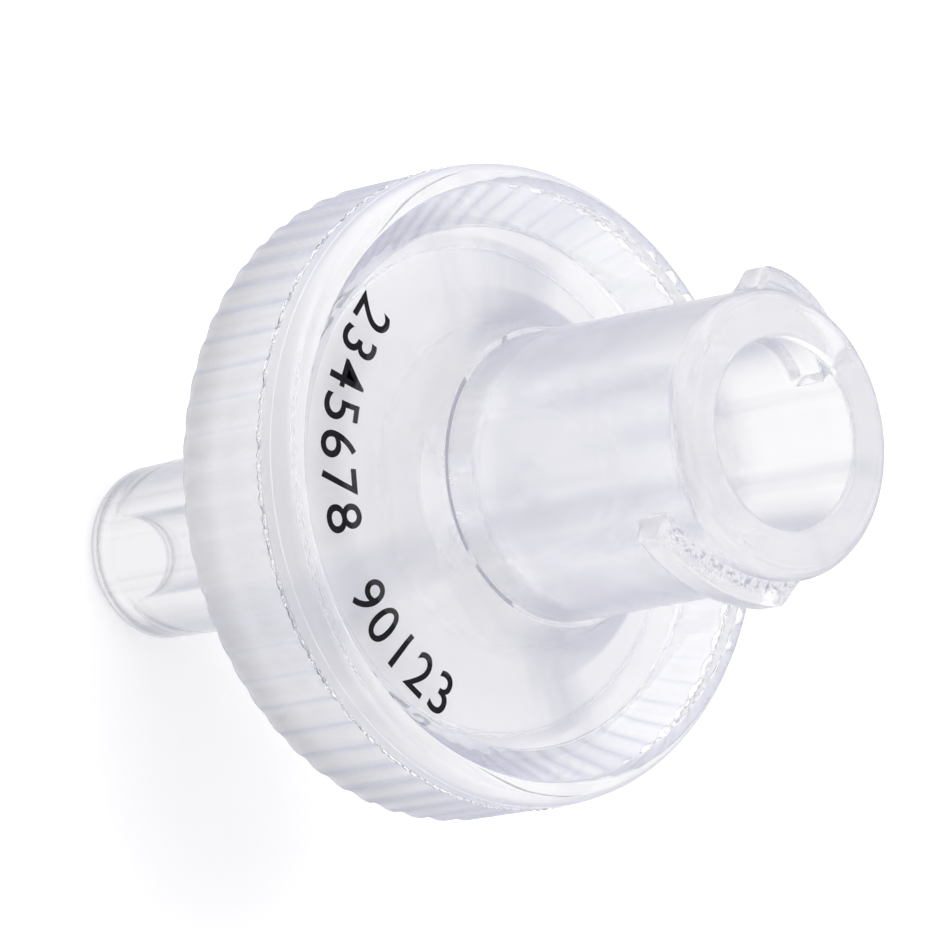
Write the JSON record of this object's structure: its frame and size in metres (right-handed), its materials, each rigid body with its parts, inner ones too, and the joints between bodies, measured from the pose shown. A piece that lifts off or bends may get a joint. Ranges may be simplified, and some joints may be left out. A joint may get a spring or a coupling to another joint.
{
  "type": "syringe filter",
  "caption": "Clear disc-shaped syringe filter with a lugged female Luer lock inlet, a male Luer slip nozzle and a fluted grip band round its rim.",
  "frame": {"origin": "centre of the nozzle's end face, which the filter stands on", "axes": "+Z along the filter's axis, from the nozzle up to the inlet's mouth; +X through the middle of one thread lug"},
  "size_m": [0.015, 0.015, 0.0219],
  "materials": {
    "clear_plastic": "clear, smooth moulded plastic",
    "clear_rim": "clear, slightly hazy overmoulded plastic",
    "membrane_film": "white film",
    "glass_fibre": "white fibre mat",
    "black_ink": "black printed numerals on the inlet's face"
  },
  "bodies": {
    "root": {"outlet_housing": "clear_plastic", "membrane": "membrane_film", "prefilter": "glass_fibre", "inlet_housing": "clear_plastic", "rim_band": "clear_rim"}
  },
  "joints": []
}
